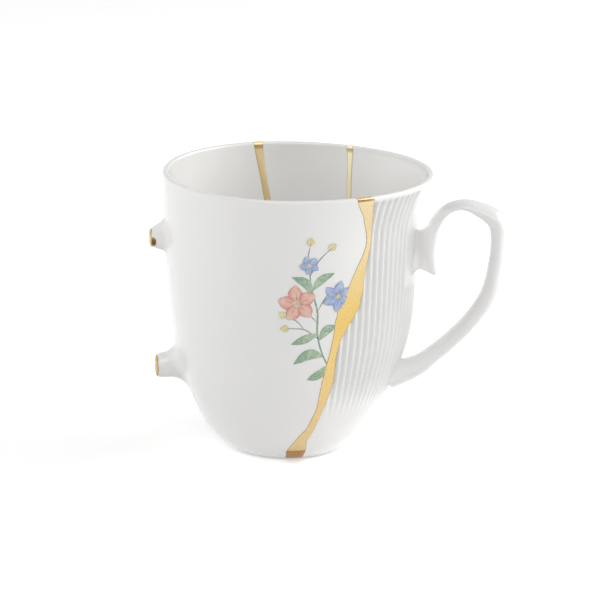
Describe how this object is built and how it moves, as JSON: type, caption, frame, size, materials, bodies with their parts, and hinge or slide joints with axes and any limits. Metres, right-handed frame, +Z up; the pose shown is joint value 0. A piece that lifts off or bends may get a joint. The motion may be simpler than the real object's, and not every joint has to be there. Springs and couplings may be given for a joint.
{
  "type": "porcelain mug",
  "caption": "Hollow porcelain mug in the style of a gold repair: a smooth painted part with handle stubs joined to a fluted, flared part with a scroll handle.",
  "frame": {"origin": "under the middle of the whole mug, handle and stubs included, on the surface it stands on", "axes": "+Z up; +X from the mug's middle towards the handle"},
  "size_m": [0.1154, 0.0806, 0.0926],
  "materials": {
    "porcelain": "white glazed porcelain, glossy, with a painted flower sprig in colour only",
    "gold": "fired gold, satin to glossy"
  },
  "bodies": {
    "root": {"porcelain_body": "porcelain", "gold_seam_front": "gold", "gold_seam_back_left": "gold", "gold_seam_back_right": "gold", "gold_tip_upper": "gold", "gold_tip_lower": "gold"}
  },
  "joints": []
}
